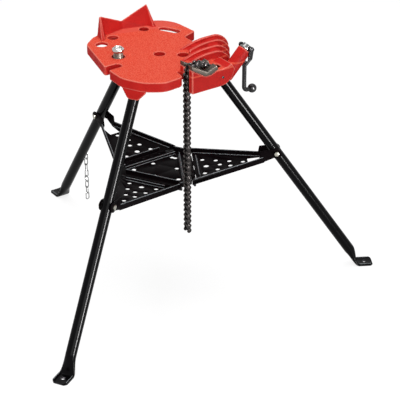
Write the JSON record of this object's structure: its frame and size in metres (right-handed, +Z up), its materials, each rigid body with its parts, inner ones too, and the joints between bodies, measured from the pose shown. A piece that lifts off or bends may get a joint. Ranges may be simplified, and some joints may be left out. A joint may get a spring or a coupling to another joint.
{
  "type": "tripod pipe vise stand",
  "caption": "Red cast top with chain vise, bending shoe, pipe rest and tool holes on three folding black tube legs joined by a folding perforated tray.",
  "frame": {"origin": "on the floor under the middle of the top, centre of the circle of the three foot bolt holes", "axes": "+X to the side of the bending shoe and crank, +Y along the rear leg away from the chain vise, +Z up"},
  "size_m": [1.1514, 0.9997, 0.789],
  "materials": {
    "red_enamel": "gloss",
    "black_paint": "gloss",
    "black_steel": "satin",
    "black_cast": "satin",
    "jaw_steel": "satin",
    "oiled_chain": "satin",
    "zinc": "satin",
    "chrome": "polished"
  },
  "bodies": {
    "base": {"base_plate": "red_enamel", "vise_body": "red_enamel", "bending_shoe": "red_enamel", "pipe_rest": "red_enamel", "front_jaw": "jaw_steel", "rear_jaw": "jaw_steel", "jaw_screws": "black_steel", "leg_pivot_bolts": "zinc", "leg_pivot_nuts": "zinc", "saddle_chain_outer_links": "oiled_chain", "saddle_chain_inner_links": "oiled_chain", "thrust_washer": "black_steel", "brace_nut": "zinc"},
    "leg_rear": {"leg_rear": "black_paint", "link_pin_rear": "zinc", "tie_chain_stud": "zinc"},
    "leg_left": {"leg_left": "black_paint", "link_pin_left": "zinc"},
    "leg_right": {"leg_right": "black_paint", "link_pin_right": "zinc"},
    "tray_middle": {"tray_middle": "black_paint", "hinge_pins": "black_steel"},
    "leaf_rear": {"tray_leaf_rear": "black_paint", "link_bolt_heads_rear": "zinc"},
    "leaf_left": {"tray_leaf_left": "black_paint", "link_bolt_heads_left": "zinc"},
    "leaf_right": {"tray_leaf_right": "black_paint", "link_bolt_heads_right": "zinc"},
    "hanging_chain": {"hanging_chain_outer_links": "oiled_chain", "hanging_chain_inner_links": "oiled_chain"},
    "chain_screw": {"chain_screw": "black_steel"},
    "swivel_nut": {"swivel_nut": "chrome", "crank_pins": "black_steel"},
    "crank": {"crank": "black_cast", "crank_knob": "black_cast"},
    "brace": {"brace_screw": "zinc", "brace_cup": "chrome"},
    "tie_chain": {"tie_chain": "zinc"}
  },
  "joints": [
    {"name": "leg_rear_fold", "type": "hinge", "parent": "base", "child": "leg_rear", "pos_m": [0, 0.1436, 0.698], "axis": [-1, 0, 0], "range_deg": [0, 34.16]},
    {"name": "leg_left_fold", "type": "hinge", "parent": "base", "child": "leg_left", "pos_m": [-0.12436, -0.0718, 0.698], "axis": [0.5, -0.866, 0], "range_deg": [0, 34.16]},
    {"name": "leg_right_fold", "type": "hinge", "parent": "base", "child": "leg_right", "pos_m": [0.12436, -0.0718, 0.698], "axis": [0.5, 0.866, 0], "range_deg": [0, 34.16]},
    {"name": "tray_rise", "type": "slide", "parent": "base", "child": "tray_middle", "axis": [0, 0, 1], "range_m": [0, 0.2362]},
    {"name": "leaf_rear_fold", "type": "hinge", "parent": "tray_middle", "child": "leaf_rear", "pos_m": [0, 0.09, 0.35875], "axis": [-1, 0, 0], "range_deg": [0, 88.33]},
    {"name": "leaf_left_fold", "type": "hinge", "parent": "tray_middle", "child": "leaf_left", "pos_m": [-0.07794, -0.045, 0.35875], "axis": [0.5, -0.866, 0], "range_deg": [0, 88.33]},
    {"name": "leaf_right_fold", "type": "hinge", "parent": "tray_middle", "child": "leaf_right", "pos_m": [0.07794, -0.045, 0.35875], "axis": [0.5, 0.866, 0], "range_deg": [0, 88.33]},
    {"name": "nut_spin", "type": "hinge", "parent": "base", "child": "swivel_nut", "pos_m": [0.182, -0.1606, 0.7565], "axis": [0.7071, 0, 0.7071], "range_deg": [-180, 30]},
    {"name": "chain_screw_travel", "type": "slide", "parent": "base", "child": "chain_screw", "axis": [0.7071, 0, 0.7071], "range_m": [-0.0016, 0.0003]},
    {"name": "crank_swing", "type": "hinge", "parent": "swivel_nut", "child": "crank", "pos_m": [0.18836, -0.1606, 0.76286], "axis": [0, -1, 0], "range_deg": [0, 180]},
    {"name": "chain_swing", "type": "hinge", "parent": "base", "child": "hanging_chain", "pos_m": [-0.018, -0.1606, 0.725], "axis": [0, 1, 0], "range_deg": [-15, 5]},
    {"name": "tie_chain_swing", "type": "hinge", "parent": "leg_rear", "child": "tie_chain", "pos_m": [0.02007, 0.47746, 0.206], "axis": [1, 0, 0], "range_deg": [-20, 2]},
    {"name": "brace_lift", "type": "slide", "parent": "base", "child": "brace", "axis": [0, 0, 1], "range_m": [0, 0.025]}
  ],
  "couplings": [
    {"joint": "leg_left_fold", "follows": "leg_rear_fold", "ratio": 1},
    {"joint": "leg_right_fold", "follows": "leg_rear_fold", "ratio": 1},
    {"joint": "tray_rise", "follows": "leg_rear_fold", "m_per_rad": 0.39605},
    {"joint": "leaf_rear_fold", "follows": "leg_rear_fold", "ratio": 2.5857},
    {"joint": "leaf_left_fold", "follows": "leg_rear_fold", "ratio": 2.5857},
    {"joint": "leaf_right_fold", "follows": "leg_rear_fold", "ratio": 2.5857},
    {"joint": "chain_screw_travel", "follows": "nut_spin", "m_per_rad": 0.00050532}
  ]
}
